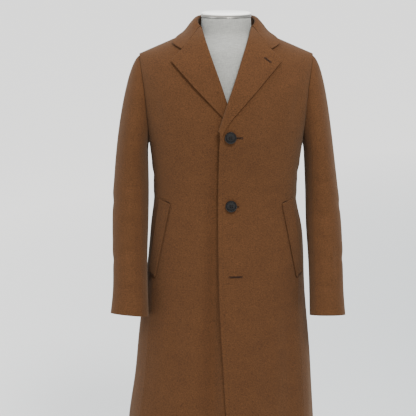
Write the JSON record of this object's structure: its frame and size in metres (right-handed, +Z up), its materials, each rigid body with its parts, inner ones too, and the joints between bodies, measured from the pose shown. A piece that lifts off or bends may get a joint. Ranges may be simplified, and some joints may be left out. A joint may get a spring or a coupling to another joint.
{
  "type": "wool overcoat on a dress form stand",
  "caption": "Single-breasted notch-lapel wool overcoat with slanted hand pockets, buttoned on a limbless dress form with a pole and round foot.",
  "frame": {"origin": "centre of the stand's round foot, on its underside", "axes": "+Z up; the coat faces -Y; +X is the wearer's left"},
  "size_m": [0.595, 0.38, 1.52],
  "materials": {
    "wool": "brushed wool coating, matt with a soft nap",
    "horn": "polished dark horn",
    "linen": "plain pale linen",
    "cap": "satin white",
    "steel": "brushed"
  },
  "bodies": {
    "root": {"front_left": "wool", "front_right": "wool", "back_left": "wool", "back_right": "wool", "lapel_left": "wool", "lapel_right": "wool", "collar": "wool", "sleeve_top_left": "wool", "sleeve_top_right": "wool", "sleeve_under_left": "wool", "sleeve_under_right": "wool", "pocket_welt_left": "wool", "pocket_welt_right": "wool", "button_front_1": "horn", "button_front_2": "horn", "button_cuff_1_left": "horn", "button_cuff_2_left": "horn", "button_cuff_3_left": "horn", "button_cuff_4_left": "horn", "button_cuff_1_right": "horn", "button_cuff_2_right": "horn", "button_cuff_3_right": "horn", "button_cuff_4_right": "horn", "form_torso": "linen", "form_neck_ring": "steel", "form_neck_cap": "cap", "form_pole": "steel", "form_foot": "steel"}
  },
  "joints": []
}
